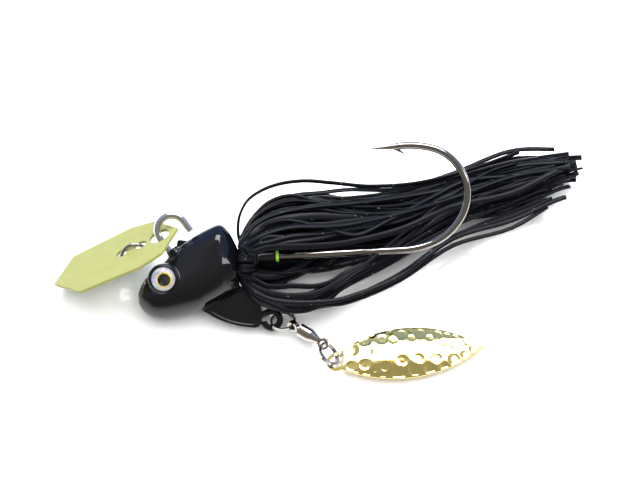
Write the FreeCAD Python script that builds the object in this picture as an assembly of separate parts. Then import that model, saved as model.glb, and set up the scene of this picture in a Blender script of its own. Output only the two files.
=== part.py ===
import FreeCAD, Part
import math
import os

from FreeCAD import Placement, Rotation, Vector

# A bladed jig for bass fishing: a frog-shaped lead head on a wide-gap hook, a flat
# eight-cornered vibrating blade threaded on the hook's open eye, a silicone skirt, and a
# willow-leaf spinner hung on a ball-bearing swivel under the keel.  All sizes are millimetres.
#
# Two frames are used.
#   lure frame : origin where the hook leaves the back of the head, +X along the hook shank towards
#                the bend, +Y towards the hook point (the lure's back), +Z towards its left side.
#   row frame  : the lure lying on its right side on a table, +Z up from the table, origin under
#                the middle of its bounding box.

# --- how the lure lies -------------------------------------------------------------------------
LURE_AT = Vector(-13.98, -1.19, 8.45)      # the shank's exit from the head, in the row frame
LURE_ROLL = 30.0                           # degrees between the hook's plane and the table
LURE_PITCH = 3.0                           # degrees the shank turns in the hook's plane
LYING = Placement(LURE_AT, Rotation(Vector(1, 0, 0), LURE_ROLL) * Rotation(Vector(0, 0, 1), LURE_PITCH))

# --- hook --------------------------------------------------------------------------------------
HOOK_WIRE = 1.45                           # wire diameter
HOOK_EYE_RADIUS = 2.8                      # turn of the open eye, at the wire's centre
HOOK_EYE_LEAN = 122.7                      # heading of the eye's two legs, degrees from +X
HOOK_EYE_NECK = 3.3                        # straight leg between the head and the eye's turn
HOOK_EYE_FREE_LEG = 2.3                    # straight leg that ends in the square-cut wire end
HOOK_IN_HEAD = 10.5                        # shank length inside the head
HOOK_HEAD_BEND = 4.0                       # bend radius where the wire turns up to the eye
HOOK_SHANK = 30.9                          # shank length behind the head
HOOK_BEND = ((16.0, 20.0), (11.5, 40.0), (9.1, 105.0), (18.0, 18.0))   # (radius, turn) in order
HOOK_POINT = 6.4                           # length of the tapered point
HOOK_TIP_RADIUS = 0.05
BARB_LENGTH = 2.4
BARB_HEIGHT = 1.9
BARB_THICK = 0.5
BARB_ROOT = 0.7                            # where the barb's back meets the point
BARB_OVERHANG = 0.9                        # how far the barb's tip leans back

# --- head --------------------------------------------------------------------------------------
# (x, top, ridge, bottom, half width, half width of the crest) of each cross-section
HEAD_SECTIONS = (
    (-20.3, -5.2, -6.4, -7.9, 1.3, 0.6),
    (-19.5, -3.8, -6.4, -9.3, 2.9, 1.4),
    (-18.0, -2.3, -6.3, -10.4, 4.0, 1.9),
    (-15.5, -0.2, -5.9, -10.8, 4.8, 1.9),
    (-12.5, 2.7, -5.0, -10.5, 5.1, 1.7),
    (-9.0, 4.8, -3.6, -9.8, 5.1, 1.6),
    (-6.0, 6.2, -2.2, -8.2, 5.0, 1.6),
    (-4.0, 6.7, -1.3, -7.2, 4.6, 1.5),
    (-2.4, 5.5, -0.9, -6.4, 3.8, 1.4),
    (-0.9, 2.4, -0.8, -5.6, 2.6, 1.0),
)
BELLY_SHARE = 0.62                         # width kept halfway from the ridge to the belly
NECK_RADIUS = 1.45                         # spigot behind the head that carries the skirt
NECK_LENGTH = 3.0
NECK_FLANGE_RADIUS = 1.75
NECK_FLANGE = 0.5
CAST_IN = 2.0                              # how far the neck reaches back into the head
EYE_AT = (-15.3, -3.15)                     # eye centre in the hook's plane
EYE_RADIUS = 2.3
EYE_SOCKET_RADIUS = 3.15                   # raised round boss that carries the eye
EYE_SOCKET_TOP = 5.15                      # boss height above the hook's plane
EYE_RECESS = 0.45
EYE_FOIL = 0.15
EYE_DOME = 0.95                            # height of the clear dome above its foil
EYE_GAP = 0.03                             # radial room round the foil and dome
EYE_SOCKET_ROUNDING = 0.7
WIRE_COLLAR_RADIUS = 1.35                  # lump of lead where the wire leaves the head
WIRE_COLLAR_LENGTH = 1.3
CHANNEL_RADIUS = 1.0                       # groove along the front of the crest
CHANNEL_FROM = Vector(-14.2, 2.9, 0.2)
CHANNEL_ALONG = Vector(0.86, 0.51, 0)
CHANNEL_LENGTH = 7.0
FIN_THICK = 1.5                            # keel fin
FIN_RIM = 0.9
FIN_POCKET = 0.25
TOOTH_THICK = 1.1                          # small tooth on the crest's far rim
TOOTH_TOP_Z = -1.0
TOOTH_OUTLINE = ((-13.2, 1.4), (-12.5, 4.7), (-10.6, 4.7), (-9.4, 3.6))

# --- keel eyelet -------------------------------------------------------------------------------
EYELET_AT = Vector(4.9, -12.04, 0.0)
EYELET_RADIUS = 1.6                        # at the wire's centre
EYELET_WIRE = 1.25
EYELET_START = 110.0                       # where the wire comes off the fin, degrees round the loop
EYELET_SWEEP = 282.0                       # clockwise, ending in an open curl
EYELET_TAIL = 4.5                          # straight length cast into the fin

# --- skirt and what holds it -------------------------------------------------------------------
BAND_RADIUS = 2.3
BAND_FROM = 0.7
BAND_LENGTH = 1.9
BAND_ROUNDING = 0.4
BAND_ROOM = 0.3                            # room the skirt leaves round the band
SKIRT_CORE_RADIUS = 1.9                    # room the skirt leaves round the neck and the sleeve
SKIRT_CORE_FROM = 0.5
SKIRT_CORE_LENGTH = 7.6
SKIRT_PARTING = -0.4                       # height of the parting above the shank's exit
SKIRT_OVAL_POINTS = 16
FIN_SLOT_SIZE = Vector(10, 12, 2.4)        # slot that the skirt leaves for the fin, lure frame
FIN_SLOT_AT = Vector(-2, -17, -1.2)
# (x, y, z, y radius, z radius) of each upright oval of the skirt's outer shape, in the row frame
SKIRT_SECTIONS = (
    (-13.3, -1.30, 8.5, 2.9, 2.9),
    (-12.5, -1.10, 8.3, 7.4, 5.8),
    (-11.0, -0.60, 8.0, 10.2, 6.9),
    (-8.0, 0.50, 7.7, 12.6, 7.2),
    (-1.0, 0.90, 7.6, 13.3, 7.2),
    (7.0, 2.20, 7.0, 12.6, 6.6),
    (17.0, 5.90, 6.0, 11.0, 5.6),
    (27.0, 11.6, 5.0, 8.9, 4.6),
    (37.0, 15.7, 4.4, 8.0, 4.0),
    (47.0, 18.7, 4.0, 6.0, 3.5),
    (50.0, 19.4, 3.9, 4.6, 2.6),
)
HOOK_ROOM_RADIUS = 1.35                    # tunnel that the skirt leaves round the hook wire
SLEEVE_RADIUS = 0.95
SLEEVE_FROM = 3.1
SLEEVE_LENGTH = 3.2
BEAD_RADIUS = 1.05
BEAD_LENGTH = 0.6
BEAD_ROUNDING = 0.15

# --- vibrating blade ---------------------------------------------------------------------------
BLADE_THICK = 0.65
BLADE_CORNER_ROUNDING = 0.5
BLADE_HOLE_RADIUS = 2.0
BLADE_HOLE_SHIFT = -0.5                    # the hole's centre lies this far across from the wire
BLADE_LONG = Vector(-0.938, -0.305, -0.060)   # from the hook eye to the far tip, lure frame
BLADE_FACE = Vector(-0.359, 0.793, 0.489)     # normal of the upper face, lure frame
# half outline from the near tip to the far tip, (along, half width), measured from the hole
BLADE_HALF = ((-3.9, 0.0), (0.2, 6.3), (5.1, 7.8), (17.6, 6.9), (22.4, 0.0))
TIE_HOLES_AT = (4.0, 8.0)
TIE_HOLE_RADIUS = 1.15
TIE_RING_RADIUS = 2.5                      # at the wire's centre
TIE_RING_WIRE = 0.7
TIE_RING_DROP = 1.45                       # ring centre below the blade's mid-plane

# --- split rings, swivel and willow-leaf blade, in the row frame -------------------------------
RING_RADIUS = 2.25                         # at the middle of the wire
RING_WIRE = 0.34                           # flattened wire: length along the ring's axis
RING_WALL = 0.36                           # and across it
RING_TURNS = 1.9
RING_PITCH = 0.38
UPPER_RING_AXIS = Vector(0.0, 0.309, 0.951)
UPPER_RING_FROM_EYELET = Vector(0.965, -0.25, 0.08)    # from the eyelet's centre to the ring's
UPPER_RING_TO_POST = Vector(0.866, -0.477, 0.155)      # from the ring's centre to the post's hole
UPPER_RING_END = Vector(0.2, 1.0, 0.0)     # side on which the ring's wire ends lie
SWIVEL_AXIS = Vector(0.840, -0.530, -0.070)
SWIVEL_LENGTH = 6.9                        # from the post's hole to the tail's hole
LOWER_RING_AXIS = Vector(0.670, 0.200, 0.711)
LOWER_RING_FROM_TAIL = Vector(0.455, -0.874, -0.183)   # from the tail's hole to the ring's centre
LOWER_RING_TO_WILLOW = Vector(0.656, -0.603, -0.449)   # from the ring's centre to the willow's hole
SWIVEL_HOLE_RADIUS = 0.68
POST_EYE_RADIUS = 1.08
POST_EYE_THICK = 0.9
POST_STEM_RADIUS = 0.5
POST_STEM_FROM = 0.8
POST_HEAD_RADIUS = 0.78
POST_HEAD_AT = 3.0
POST_HEAD_LENGTH = 0.35
BARREL_RADIUS = 1.36
BARREL_WALL = 0.2
BARREL_FROM = 1.45
BARREL_LENGTH = 2.4
CONE_LENGTH = 2.0
CONE_END_RADIUS = 0.56
BARREL_END_WALL = 0.2                      # metal between the hollow and the cone
BARREL_FUNNEL_RADIUS = 0.55                # the hollow's narrow end
BARREL_FUNNEL = 0.3
TAIL_WEB_LENGTH = 1.2
TAIL_WEB_WIDTH = 1.1
TAIL_RADIUS = 1.08
TAIL_THICK = 0.85
CAP_THICK = 0.3
CAP_INSET = 0.1
CAP_STEM_ROOM = 0.08
BALL_RADIUS = 0.24
BALL_COUNT = 6
BALLS_BEFORE_HEAD = 0.3
WILLOW_LENGTH = 30.3
WILLOW_WIDTH = 10.9
WILLOW_THICK = 0.5
WILLOW_DOME = 1.9                          # height of the blade's dome
WILLOW_HOLE_RADIUS = 1.3
WILLOW_HOLE_FROM_END = 1.9
WILLOW_HOLE_LAND = 0.65                    # metal left round the hole
WILLOW_LIFT = 0.15                         # the leaf hangs this far above the middle of its hole
WILLOW_YAW = 7.5
WILLOW_DIP = 1.2                           # degrees the far tip drops
DRILL = 8.0                                # length of a cutter that passes right through a plate
ARRIS = 5.0                                # a turned piece's round edges are longer than this


def cylinder(radius, length, at, along):
    return Part.makeCylinder(radius, length, at, along)


def shank_cylinder(radius, start, length):
    """Cylinder about the X axis, from start towards the bend."""
    return cylinder(radius, length, Vector(start, 0, 0), Vector(1, 0, 0))


def drill(radius, at, along):
    """Long cutter centred on a point."""
    return cylinder(radius, DRILL, at - along * (DRILL / 2), along)


def round_edges(shape):
    return [edge for edge in shape.Edges if edge.Length > ARRIS]


def placed(shape, placement):
    """Copy of a shape, moved by a placement on top of the one it has."""
    moved = shape.copy()
    moved.Placement = placement.multiply(shape.Placement)
    return moved


def heading_vector(degrees):
    turn = math.radians(degrees)
    return Vector(math.cos(turn), math.sin(turn), 0)


def arc_edge(start, heading, radius, turn):
    """Arc from start along heading; a positive turn goes to the left.  Returns edge, end, heading."""
    side = 1.0 if turn > 0 else -1.0
    centre = start + heading_vector(heading + 90.0 * side) * radius
    middle = centre + heading_vector(heading + turn / 2.0 - 90.0 * side) * radius
    end = centre + heading_vector(heading + turn - 90.0 * side) * radius
    return Part.Arc(start, middle, end).toShape(), end, heading + turn


def run_edge(start, heading, length):
    end = start + heading_vector(heading) * length
    return Part.LineSegment(start, end).toShape(), end


def round_bar(edges, radius, start, heading):
    """Solid round wire along a smooth chain of edges that begins at start."""
    profile = Part.Wire(Part.makeCircle(radius, start, heading))
    return Part.Wire(edges).makePipeShell([profile], True, True)


def hook_eye_path():
    """Edges from the back of the head, forward through the head and round the open eye."""
    here = Vector(0, 0, 0)
    heading = 180.0
    run, here = run_edge(here, heading, HOOK_IN_HEAD)
    edges = [run]
    bend, here, heading = arc_edge(here, heading, HOOK_HEAD_BEND, HOOK_EYE_LEAN - 180.0)
    edges.append(bend)
    run, here = run_edge(here, heading, HOOK_EYE_NECK)
    edges.append(run)
    threading = here
    turn, here, heading = arc_edge(here, heading, HOOK_EYE_RADIUS, -180.0)
    edges.append(turn)
    run, here = run_edge(here, heading, HOOK_EYE_FREE_LEG)
    edges.append(run)
    return edges, threading


def hook_bend_path():
    """Edges from the back of the head to the root of the point, with its place and heading."""
    here = Vector(0, 0, 0)
    heading = 0.0
    run, here = run_edge(here, heading, HOOK_SHANK)
    edges = [run]
    for radius, turn in HOOK_BEND:
        arc, here, heading = arc_edge(here, heading, radius, turn)
        edges.append(arc)
    return edges, here, heading


def make_barb(root, heading):
    """Thin wedge raised on the inner side of the point, aimed back towards the bend."""
    ahead = heading_vector(heading)
    inward = heading_vector(heading + 90.0)
    tip = root - ahead * BARB_OVERHANG + inward * BARB_HEIGHT
    front = root + ahead * BARB_LENGTH
    back = root + ahead * BARB_ROOT
    flat = Part.Face(Part.makePolygon([front, tip, back, front]))
    return flat.extrude(Vector(0, 0, BARB_THICK)).translated(Vector(0, 0, -BARB_THICK / 2))


def make_hook():
    """One wire: open eye, shank, wide-gap bend, barbed point."""
    radius = HOOK_WIRE / 2
    eye_edges, _ = hook_eye_path()
    bend_edges, root, heading = hook_bend_path()
    front = round_bar(eye_edges, radius, Vector(0, 0, 0), Vector(-1, 0, 0))
    back = round_bar(bend_edges, radius, Vector(0, 0, 0), Vector(1, 0, 0))
    point = Part.makeCone(radius, HOOK_TIP_RADIUS, HOOK_POINT, root, heading_vector(heading))
    barb = make_barb(root, heading)
    return front.fuse([back, point, barb]).removeSplitter()


def head_section(x, top, ridge, bottom, half_width, crest):
    """Closed smooth cross-section: narrow crest, flat cheeks down to a ridge, rounded belly."""
    cheek = (crest + half_width) / 2
    belly = half_width * BELLY_SHARE
    left = (
        (top, 0.0),
        (top - 0.35, crest * 0.8),
        ((top + ridge) / 2, cheek),
        (ridge, half_width),
        ((ridge + bottom) / 2, half_width * 0.9),
        (bottom + 0.5, belly),
        (bottom, 0.0),
    )
    ring = [Vector(x, y, z) for y, z in left]
    ring += [Vector(x, y, -z) for y, z in reversed(left[1:-1])]
    curve = Part.BSplineCurve()
    curve.interpolate(ring, PeriodicFlag=True)
    return Part.Wire(curve.toShape())


def fin_outline():
    """Keel fin: bottom edge in a long arc, rounded heel, concave rear edge up to the head."""
    toe = Vector(-8.6, -9.3, 0)
    heel_front = Vector(1.1, -13.35, 0)
    heel = Vector(2.4, -13.2, 0)
    heel_back = Vector(3.0, -12.4, 0)
    rear_top = Vector(-0.9, -5.4, 0)
    keel = Part.Arc(toe, Vector(-4.0, -12.05, 0), heel_front).toShape()
    corner = Part.Arc(heel_front, heel, heel_back).toShape()
    rear = Part.Arc(heel_back, Vector(3.0, -8.6, 0), rear_top).toShape()
    roof = Part.LineSegment(rear_top, toe).toShape()
    return Part.Face(Part.Wire([keel, corner, rear, roof]))


def make_fin():
    outline = fin_outline()
    half = FIN_THICK / 2
    fin = outline.extrude(Vector(0, 0, FIN_THICK)).translated(Vector(0, 0, -half))
    pocket = outline.makeOffset2D(-FIN_RIM).extrude(Vector(0, 0, FIN_POCKET))
    for floor in (half - FIN_POCKET, -half):
        fin = fin.cut(pocket.translated(Vector(0, 0, floor)))
    return fin


def make_crest_tooth():
    """Small pointed tooth on the right-hand rim of the crest, behind the hook's eye."""
    corners = [Vector(x, y, TOOTH_TOP_Z) for x, y in TOOTH_OUTLINE]
    outline = Part.makePolygon(corners + [corners[0]])
    return Part.Face(outline).extrude(Vector(0, 0, -TOOTH_THICK))


def eye_boss(side):
    at = Vector(EYE_AT[0], EYE_AT[1], 0)
    boss = cylinder(EYE_SOCKET_RADIUS, EYE_SOCKET_TOP, at, Vector(0, 0, side))
    rim = [edge for edge in boss.Edges if abs(edge.CenterOfMass.z - side * EYE_SOCKET_TOP) < 0.01]
    return boss.makeFillet(EYE_SOCKET_ROUNDING, rim)


def eye_recess(side):
    floor = side * (EYE_SOCKET_TOP - EYE_RECESS)
    at = Vector(EYE_AT[0], EYE_AT[1], floor)
    return cylinder(EYE_RADIUS + EYE_GAP, EYE_RECESS + 1.0, at, Vector(0, 0, side))


def make_head(hook, eyelet):
    """Lead casting with the hook and the keel eyelet moulded in."""
    body = Part.makeLoft([head_section(*row) for row in HEAD_SECTIONS], True, False)
    neck = shank_cylinder(NECK_RADIUS, -CAST_IN, NECK_LENGTH + CAST_IN)
    flange = shank_cylinder(NECK_FLANGE_RADIUS, NECK_LENGTH - NECK_FLANGE, NECK_FLANGE)
    _, threading = hook_eye_path()
    up_wire = heading_vector(HOOK_EYE_LEAN)
    foot = threading - up_wire * HOOK_EYE_NECK
    collar = cylinder(WIRE_COLLAR_RADIUS, WIRE_COLLAR_LENGTH + 1.0, foot - up_wire * 1.0, up_wire)
    head = body.fuse([make_fin(), neck, flange, collar, make_crest_tooth(), eye_boss(1), eye_boss(-1)])
    channel = cylinder(CHANNEL_RADIUS, CHANNEL_LENGTH, CHANNEL_FROM, CHANNEL_ALONG)
    head = head.cut([channel.cut(collar.copy()), eye_recess(1), eye_recess(-1)])
    return head.cut([hook, eyelet])


def make_eyelet():
    """Wire loop under the fin, open curl at its end, its tail cast into the fin."""
    start_at = EYELET_AT + heading_vector(EYELET_START) * EYELET_RADIUS
    heading = EYELET_START - 90.0
    tail_end = start_at - heading_vector(heading) * EYELET_TAIL
    tail = Part.LineSegment(tail_end, start_at).toShape()
    loop, _, _ = arc_edge(start_at, heading, EYELET_RADIUS, -EYELET_SWEEP)
    return round_bar([tail, loop], EYELET_WIRE / 2, tail_end, heading_vector(heading))


def make_eye_foil(side):
    floor = side * (EYE_SOCKET_TOP - EYE_RECESS)
    return cylinder(EYE_RADIUS, EYE_FOIL, Vector(EYE_AT[0], EYE_AT[1], floor), Vector(0, 0, side))


def make_eye_dome(side):
    """Clear lens-shaped dome of hardened resin over the foil."""
    base = EYE_SOCKET_TOP - EYE_RECESS + EYE_FOIL
    ball_radius = (EYE_RADIUS ** 2 + EYE_DOME ** 2) / (2 * EYE_DOME)
    centre = Vector(EYE_AT[0], EYE_AT[1], side * (base + EYE_DOME - ball_radius))
    ball = Part.makeSphere(ball_radius, centre)
    foot = Vector(EYE_AT[0], EYE_AT[1], side * base)
    slab = cylinder(EYE_RADIUS + 1.0, EYE_DOME + 1.0, foot, Vector(0, 0, side))
    return ball.common(slab)


def make_band():
    """Rubber band that grips the skirt on the neck, with a rolled outer edge."""
    outer = shank_cylinder(BAND_RADIUS, BAND_FROM, BAND_LENGTH)
    outer = outer.makeFillet(BAND_ROUNDING, round_edges(outer))
    return outer.cut(shank_cylinder(NECK_FLANGE_RADIUS, BAND_FROM, BAND_LENGTH))


def make_sleeve():
    """Soft tube on the shank that stops a trailer bait from sliding back."""
    outer = shank_cylinder(SLEEVE_RADIUS, SLEEVE_FROM, SLEEVE_LENGTH)
    return outer.cut(shank_cylinder(HOOK_WIRE / 2, SLEEVE_FROM, SLEEVE_LENGTH))


def make_bead():
    start = SLEEVE_FROM + SLEEVE_LENGTH
    outer = shank_cylinder(BEAD_RADIUS, start, BEAD_LENGTH)
    outer = outer.makeFillet(BEAD_ROUNDING, round_edges(outer))
    return outer.cut(shank_cylinder(HOOK_WIRE / 2, start, BEAD_LENGTH))


def skirt_section(x, y, z, y_radius, z_radius):
    """Upright oval in the row frame."""
    ring = []
    for step in range(SKIRT_OVAL_POINTS):
        turn = 2 * math.pi * step / SKIRT_OVAL_POINTS
        ring.append(Vector(x, y + y_radius * math.cos(turn), z + z_radius * math.sin(turn)))
    curve = Part.BSplineCurve()
    curve.interpolate(ring, PeriodicFlag=True)
    return Part.Wire(curve.toShape())


def biggest_solid(shape):
    return max(shape.Solids, key=lambda solid: solid.Volume)


def make_skirt_tabs():
    """Outer shape of the skirt's strands, parted at the shank into an upper and a lower tab."""
    whole = Part.makeLoft([skirt_section(*row) for row in SKIRT_SECTIONS], True, False)
    core = shank_cylinder(SKIRT_CORE_RADIUS, SKIRT_CORE_FROM, SKIRT_CORE_LENGTH)
    band_room = shank_cylinder(BAND_RADIUS + BAND_ROOM, BAND_FROM - BAND_ROOM, BAND_LENGTH + 2 * BAND_ROOM)
    bend_edges, _, _ = hook_bend_path()
    hook_room = round_bar(bend_edges, HOOK_ROOM_RADIUS, Vector(0, 0, 0), Vector(1, 0, 0))
    whole = whole.cut([lay_down(core), lay_down(band_room), lay_down(hook_room)])
    slot = Part.makeBox(FIN_SLOT_SIZE.x, FIN_SLOT_SIZE.y, FIN_SLOT_SIZE.z, FIN_SLOT_AT)
    whole = whole.cut(lay_down(slot))
    room = whole.BoundBox
    parting = LURE_AT.z + SKIRT_PARTING
    corner = Vector(room.XMin, room.YMin, parting)
    above = Part.makeBox(room.XLength, room.YLength, room.ZMax - parting, corner)
    return biggest_solid(whole.common(above)), biggest_solid(whole.cut(above))


def blade_placement():
    """Frame of the vibrating blade: X to its far tip, Z out of its upper face, origin in its hole."""
    _, threading = hook_eye_path()
    across = BLADE_FACE.cross(BLADE_LONG)
    turn = Rotation(BLADE_LONG, across, BLADE_FACE, "ZXY")
    across = turn.multVec(Vector(0, 1, 0))
    return Placement(threading + across * BLADE_HOLE_SHIFT, turn)


def make_vibrating_blade():
    """Flat eight-cornered plate with one large hole for the hook's eye and two for the line tie."""
    corners = [Vector(along, half, 0) for along, half in BLADE_HALF]
    corners += [Vector(along, -half, 0) for along, half in reversed(BLADE_HALF[1:-1])]
    outline = Part.Face(Part.makePolygon(corners + [corners[0]]))
    plate = outline.extrude(Vector(0, 0, BLADE_THICK)).translated(Vector(0, 0, -BLADE_THICK / 2))
    upright = [edge for edge in plate.Edges if abs(edge.tangentAt(edge.FirstParameter).z) > 0.9]
    plate = plate.makeFillet(BLADE_CORNER_ROUNDING, upright)
    up = Vector(0, 0, 1)
    holes = [drill(BLADE_HOLE_RADIUS, Vector(0, 0, 0), up)]
    holes += [drill(TIE_HOLE_RADIUS, Vector(along, 0, 0), up) for along in TIE_HOLES_AT]
    return placed(plate.cut(holes), blade_placement())


def make_line_tie_ring():
    """Welded wire ring through the plate's two small holes, hanging below the plate."""
    centre = Vector(sum(TIE_HOLES_AT) / 2, 0, -TIE_RING_DROP)
    ring = Part.makeTorus(TIE_RING_RADIUS, TIE_RING_WIRE / 2, centre, Vector(0, 1, 0))
    return placed(ring, blade_placement())


def make_split_ring():
    """Nearly two turns of flattened wire, centred on the origin round Z."""
    height = RING_TURNS * RING_PITCH
    helix = Part.makeHelix(RING_PITCH, height, RING_RADIUS)
    inner = RING_RADIUS - RING_WALL / 2
    outer = RING_RADIUS + RING_WALL / 2
    low = -RING_WIRE / 2
    high = RING_WIRE / 2
    corners = [Vector(x, 0, z) for x, z in ((inner, low), (outer, low), (outer, high), (inner, high))]
    profile = Part.makePolygon(corners + [corners[0]])
    ring = Part.Wire(helix).makePipeShell([profile], True, True)
    return ring.translated(Vector(0, 0, -height / 2))


def turned_to(axis, towards):
    """Rotation that puts Z on axis and X as near as it can to towards."""
    return Rotation(towards, axis.cross(towards), axis, "ZXY")


def across_ring(direction, axis):
    """The part of a direction that lies in a ring's plane, as long as the ring's radius."""
    unit = Vector(axis).normalize()
    flat = direction - unit * direction.dot(unit)
    return flat.normalize() * RING_RADIUS


def upper_ring_at():
    return LYING.multVec(EYELET_AT) + across_ring(UPPER_RING_FROM_EYELET, UPPER_RING_AXIS)


def swivel_eye_at():
    return upper_ring_at() + across_ring(UPPER_RING_TO_POST, UPPER_RING_AXIS)


def swivel_axis():
    return Vector(SWIVEL_AXIS).normalize()


def swivel_tail_at():
    return swivel_eye_at() + swivel_axis() * SWIVEL_LENGTH


def lower_ring_at():
    return swivel_tail_at() + across_ring(LOWER_RING_FROM_TAIL, LOWER_RING_AXIS)


def willow_hole_at():
    return lower_ring_at() + across_ring(LOWER_RING_TO_WILLOW, LOWER_RING_AXIS)


def ring_tangent(axis, centre, point):
    return Vector(axis).cross(point - centre).normalize()


def swivel_placement(hole_direction):
    """X along the swivel, Y as near as it can to the direction in which a ring passes a hole."""
    along = swivel_axis()
    return Placement(swivel_eye_at(), Rotation(along, hole_direction, along.cross(hole_direction), "XYZ"))


def make_upper_ring():
    turn = turned_to(UPPER_RING_AXIS, UPPER_RING_END)
    return placed(make_split_ring(), Placement(upper_ring_at(), turn))


def make_lower_ring():
    clear_side = LOWER_RING_FROM_TAIL - LOWER_RING_TO_WILLOW
    return placed(make_split_ring(), Placement(lower_ring_at(), turned_to(LOWER_RING_AXIS, clear_side)))


def make_swivel_post():
    """Turned pin with a flattened eye outside the barrel and a round head inside it."""
    eye = cylinder(POST_EYE_RADIUS, POST_EYE_THICK, Vector(0, -POST_EYE_THICK / 2, 0), Vector(0, 1, 0))
    hole = drill(SWIVEL_HOLE_RADIUS, Vector(0, 0, 0), Vector(0, 1, 0))
    stem = shank_cylinder(POST_STEM_RADIUS, POST_STEM_FROM, POST_HEAD_AT - POST_STEM_FROM)
    head = shank_cylinder(POST_HEAD_RADIUS, POST_HEAD_AT, POST_HEAD_LENGTH)
    tangent = ring_tangent(UPPER_RING_AXIS, upper_ring_at(), swivel_eye_at())
    return placed(eye.fuse([stem, head]).cut(hole), swivel_placement(tangent))


def revolved(profile):
    """Solid turned about X from (x, radius) corners."""
    points = [Vector(x, radius, 0) for x, radius in profile]
    face = Part.Face(Part.makePolygon(points + [points[0]]))
    return face.revolve(Vector(0, 0, 0), Vector(1, 0, 0), 360)


def tail_tangent():
    return ring_tangent(LOWER_RING_AXIS, lower_ring_at(), swivel_tail_at())


def make_swivel_body():
    """Hollow barrel with a cone that ends in a flattened tail with a hole."""
    mouth = BARREL_FROM
    cone_from = mouth + BARREL_LENGTH
    cone_end = cone_from + CONE_LENGTH
    hollow_end = cone_from + BARREL_END_WALL
    inner = BARREL_RADIUS - BARREL_WALL
    outside = ((mouth, BARREL_RADIUS), (cone_from, BARREL_RADIUS), (cone_end, CONE_END_RADIUS), (cone_end, 0))
    inside = ((hollow_end, 0), (hollow_end, BARREL_FUNNEL_RADIUS), (hollow_end - BARREL_FUNNEL, inner),
              (mouth, inner))
    barrel = revolved(outside + inside)
    across = Vector(0, 1, 0)
    tail = cylinder(TAIL_RADIUS, TAIL_THICK, Vector(SWIVEL_LENGTH, -TAIL_THICK / 2, 0), across)
    web_corner = Vector(cone_end - TAIL_WEB_LENGTH / 2, -TAIL_THICK / 2, -TAIL_WEB_WIDTH / 2)
    web = Part.makeBox(TAIL_WEB_LENGTH, TAIL_THICK, TAIL_WEB_WIDTH, web_corner)
    hole = drill(SWIVEL_HOLE_RADIUS, Vector(SWIVEL_LENGTH, 0, 0), across)
    return placed(barrel.fuse([tail, web]).cut(hole), swivel_placement(tail_tangent()))


def make_swivel_cap():
    """Washer pressed into the barrel's mouth round the post's stem."""
    start = BARREL_FROM + CAP_INSET
    washer = shank_cylinder(BARREL_RADIUS - BARREL_WALL, start, CAP_THICK)
    hole = shank_cylinder(POST_STEM_RADIUS + CAP_STEM_ROOM, start, CAP_THICK)
    return placed(washer.cut(hole), swivel_placement(tail_tangent()))


def make_swivel_balls():
    """Bearing balls between the cap and the post's head."""
    ball_ring = (POST_STEM_RADIUS + BARREL_RADIUS - BARREL_WALL) / 2
    balls = []
    for step in range(BALL_COUNT):
        turn = 2 * math.pi * step / BALL_COUNT
        beside_head = POST_HEAD_AT - BALLS_BEFORE_HEAD
        at = Vector(beside_head, ball_ring * math.cos(turn), ball_ring * math.sin(turn))
        balls.append(Part.makeSphere(BALL_RADIUS, at))
    return placed(Part.makeCompound(balls), swivel_placement(tail_tangent()))


def willow_placement():
    turn = Rotation(Vector(0, 0, 1), WILLOW_YAW) * Rotation(Vector(0, 1, 0), WILLOW_DIP)
    return Placement(willow_hole_at(), turn)


def willow_outline(x_shift):
    """Upright prism of the leaf: two equal arcs, and a round end about the hole."""
    half = WILLOW_WIDTH / 2
    left = Vector(x_shift, 0, 0)
    right = Vector(x_shift + WILLOW_LENGTH, 0, 0)
    middle = x_shift + WILLOW_LENGTH / 2
    upper = Part.Arc(left, Vector(middle, half, 0), right).toShape()
    lower = Part.Arc(right, Vector(middle, -half, 0), left).toShape()
    leaf = Part.Face(Part.Wire([upper, lower])).extrude(Vector(0, 0, DRILL))
    end = cylinder(WILLOW_HOLE_RADIUS + WILLOW_HOLE_LAND, DRILL, Vector(0, 0, 0), Vector(0, 0, 1))
    return leaf.fuse(end).translated(Vector(0, 0, -DRILL / 2))


def make_willow_blade():
    """Thin domed leaf: the shell between two long ellipsoid-like arcs, trimmed to the outline."""
    x_shift = -WILLOW_HOLE_FROM_END
    middle = x_shift + WILLOW_LENGTH / 2
    half_length = WILLOW_LENGTH / 2
    dome_radius = (half_length ** 2 + WILLOW_DOME ** 2) / (2 * WILLOW_DOME)
    half_width = WILLOW_WIDTH / 2
    cross_radius = (half_width ** 2 + WILLOW_DOME ** 2) / (2 * WILLOW_DOME)
    turning = dome_radius - cross_radius
    centre = Vector(middle, 0, WILLOW_DOME - dome_radius)
    across = Vector(0, 1, 0)
    outer = Part.makeTorus(turning, cross_radius, centre, across)
    inner = Part.makeTorus(turning, cross_radius - WILLOW_THICK, centre, across)
    leaf = biggest_solid(outer.cut(inner).common(willow_outline(x_shift)))
    hole = drill(WILLOW_HOLE_RADIUS, Vector(0, 0, 0), Vector(0, 0, 1))
    return placed(leaf.cut(hole).translated(Vector(0, 0, WILLOW_LIFT)), willow_placement())


def lay_down(shape):
    """Moves a shape from the lure frame into the row frame."""
    return placed(shape, LYING)


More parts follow.
